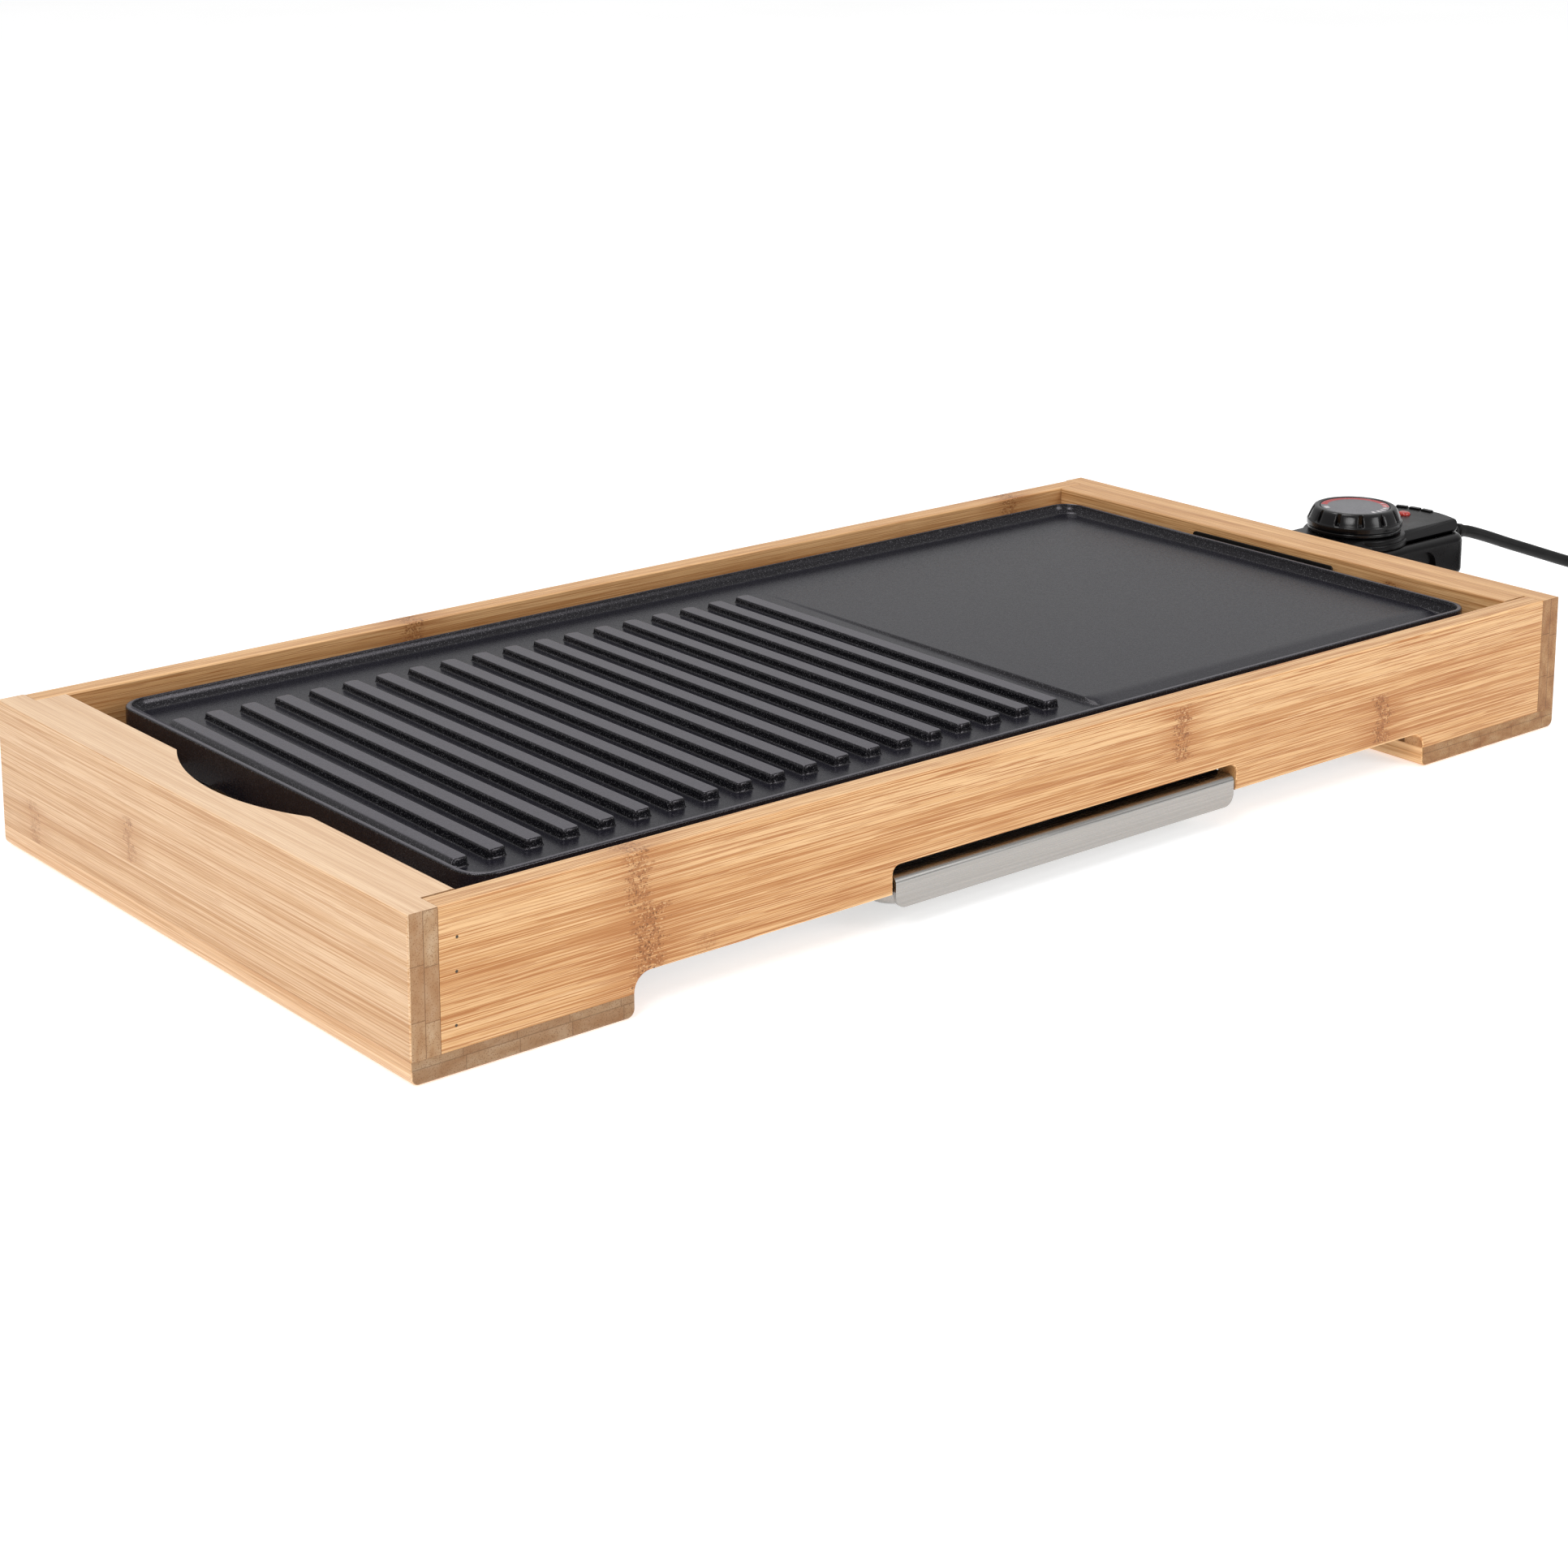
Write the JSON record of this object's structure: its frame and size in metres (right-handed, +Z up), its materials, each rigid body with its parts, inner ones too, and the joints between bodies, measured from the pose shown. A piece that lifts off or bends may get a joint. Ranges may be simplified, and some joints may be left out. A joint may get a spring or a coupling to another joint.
{
  "type": "electric griddle",
  "caption": "Bamboo-framed electric griddle with a part-ribbed, part-flat cast plate, a stainless drip tray and a plug-in thermostat on a mains cord.",
  "frame": {"origin": "on the table, under the middle of the griddle with its plugged-in thermostat", "axes": "+X along the long side towards the thermostat, +Y to the rear away from the drip tray, +Z up"},
  "size_m": [0.8023, 0.279, 0.0631],
  "materials": {
    "bamboo": "satin",
    "rubber_pads": "matte",
    "sheet_steel": "satin",
    "zinc_steel": "satin",
    "heater_sheath": "matte",
    "ceramic": "matte",
    "black_steel": "matte",
    "stainless": "brushed",
    "cast_coating": "satin",
    "black_plastic": "satin",
    "red_lens": "gloss",
    "switch_body": "matte",
    "brass": "satin",
    "dial_face": "satin",
    "cord_rubber": "satin",
    "plug_metal": "polished"
  },
  "bodies": {
    "base": {"left_end_board": "bamboo", "right_end_board": "bamboo", "front_board": "bamboo", "rear_board": "bamboo", "left_foot_board": "bamboo", "right_foot_board": "bamboo", "left_front_foot_pad": "rubber_pads", "left_rear_foot_pad": "rubber_pads", "right_front_foot_pad": "rubber_pads", "right_rear_foot_pad": "rubber_pads", "heat_shield": "sheet_steel", "left_tray_rail": "sheet_steel", "right_tray_rail": "sheet_steel", "left_front_plate_bracket": "sheet_steel", "left_rear_plate_bracket": "sheet_steel", "right_front_plate_bracket": "sheet_steel", "right_rear_plate_bracket": "sheet_steel", "left_front_heater_post": "sheet_steel", "left_rear_heater_post": "sheet_steel", "right_front_heater_post": "sheet_steel", "right_rear_heater_post": "sheet_steel", "left_front_spacer": "zinc_steel", "left_rear_spacer": "zinc_steel", "right_front_spacer": "zinc_steel", "right_rear_spacer": "zinc_steel", "left_front_shield_screw": "zinc_steel", "left_rear_shield_screw": "zinc_steel", "right_front_shield_screw": "zinc_steel", "right_rear_shield_screw": "zinc_steel", "live_pin": "zinc_steel", "neutral_pin": "zinc_steel", "heating_element": "heater_sheath", "terminal_block": "ceramic", "terminal_guard": "black_steel"},
    "plate": {"griddle_plate": "cast_coating"},
    "drip_tray": {"drip_tray_pan": "stainless", "drip_tray_front": "stainless"},
    "thermostat": {"thermostat_lower_case": "black_plastic", "thermostat_lid": "black_plastic", "indicator_lens": "red_lens", "thermostat_switch": "switch_body", "temperature_probe": "zinc_steel", "live_socket": "brass", "neutral_socket": "brass", "front_case_screw": "zinc_steel", "rear_case_screw": "zinc_steel", "strain_relief": "cord_rubber", "power_cord": "cord_rubber", "cord_coil": "cord_rubber", "cord_tail": "cord_rubber", "plug_body": "cord_rubber", "plug_pin_live": "plug_metal", "plug_pin_neutral": "plug_metal"},
    "knob": {"control_knob": "black_plastic", "dial_disc": "dial_face", "knob_shaft": "zinc_steel"}
  },
  "joints": [
    {"name": "plate_lift", "type": "slide", "parent": "base", "child": "plate", "axis": [0, 0, 1], "range_m": [0, 0.08]},
    {"name": "tray_pull", "type": "slide", "parent": "base", "child": "drip_tray", "axis": [0, -1, 0], "range_m": [0, 0.1]},
    {"name": "thermostat_unplug", "type": "slide", "parent": "base", "child": "thermostat", "axis": [1, 0, 0], "range_m": [0, 0.08]},
    {"name": "knob_turn", "type": "hinge", "parent": "thermostat", "child": "knob", "pos_m": [0.2697, 0, 0.0525], "axis": [0, 0, -1], "range_deg": [0, 270]}
  ]
}
